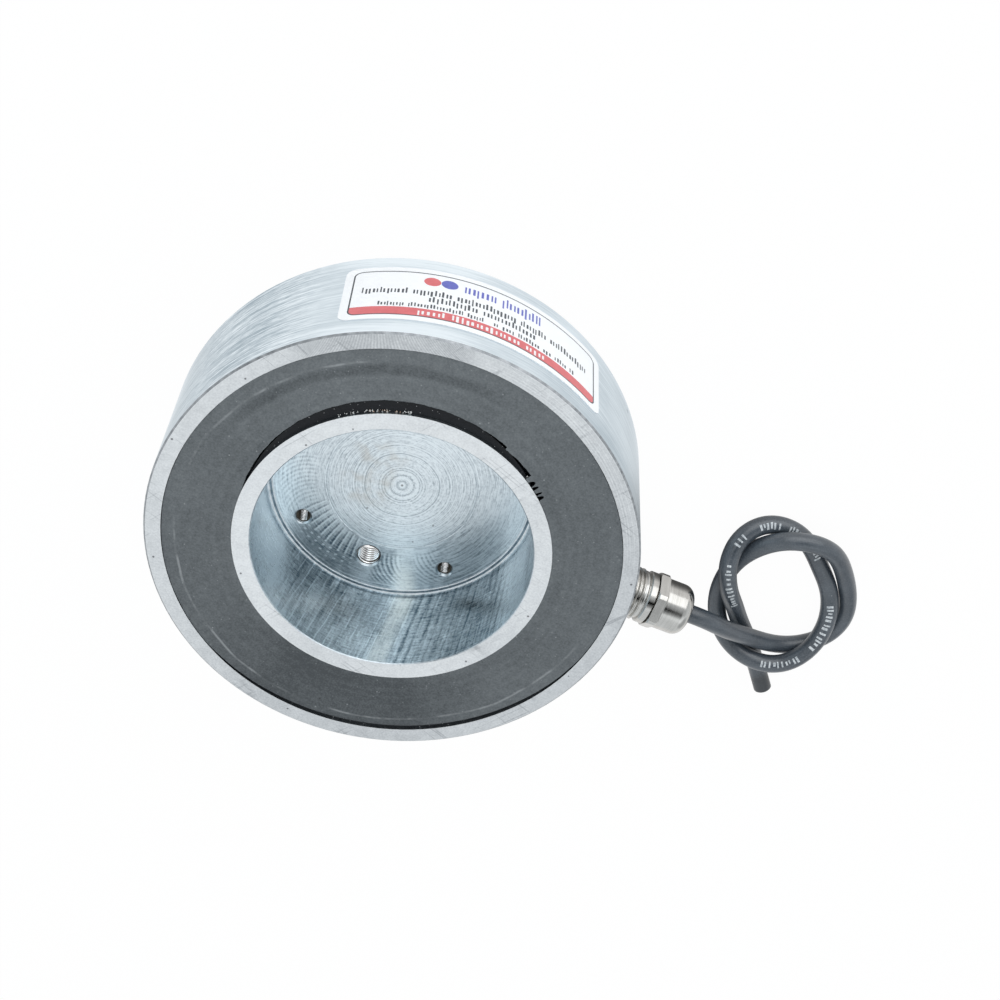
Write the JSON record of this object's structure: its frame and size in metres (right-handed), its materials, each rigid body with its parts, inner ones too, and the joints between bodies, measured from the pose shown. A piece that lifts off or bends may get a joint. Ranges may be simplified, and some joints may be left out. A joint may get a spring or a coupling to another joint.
{
  "type": "round electromagnet gripper",
  "caption": "Round potted holding electromagnet with a hollow centre pole, used as a robot's magnetic gripper, with tapped mounting holes, a cable gland and a short knotted cable.",
  "frame": {"origin": "centre of the flat mounting face, which it rests on", "axes": "+Z out of the pole face, +X along the cable gland, +Y towards the label"},
  "size_m": [0.2472, 0.1602, 0.05],
  "materials": {
    "zinc_plated_steel": "zinc plated, turned, satin",
    "nickel_plated_brass": "nickel plated, satin gloss",
    "former_plastic": "moulded, matt",
    "enamelled_copper": "enamelled winding wire, gloss",
    "insulating_tape": "polyester tape, satin",
    "lead_wire": "silicone insulated, matt",
    "splice_sleeve": "shrunk sleeve, matt",
    "core_brown": "core insulation, matt",
    "core_blue": "core insulation, matt",
    "black_resin": "cast, glossy",
    "grey_resin": "filled casting resin, faced, matt",
    "seal_rubber": "moulded, matt",
    "cable_sheath": "smooth PVC, satin",
    "label_film": "printed white film, satin"
  },
  "bodies": {
    "root": {"pot_body": "zinc_plated_steel", "coil_former": "former_plastic", "copper_winding": "enamelled_copper", "coil_tape": "insulating_tape", "lead_start": "lead_wire", "lead_end": "lead_wire", "splice_start": "splice_sleeve", "splice_end": "splice_sleeve", "core_brown": "core_brown", "core_blue": "core_blue", "potting_resin": "black_resin", "face_ring": "grey_resin", "gland_body": "nickel_plated_brass", "gland_seal": "seal_rubber", "gland_washer": "nickel_plated_brass", "gland_nut": "nickel_plated_brass", "cable_jacket": "cable_sheath", "cut_core_brown": "core_brown", "cut_core_blue": "core_blue", "label": "label_film"}
  },
  "joints": []
}
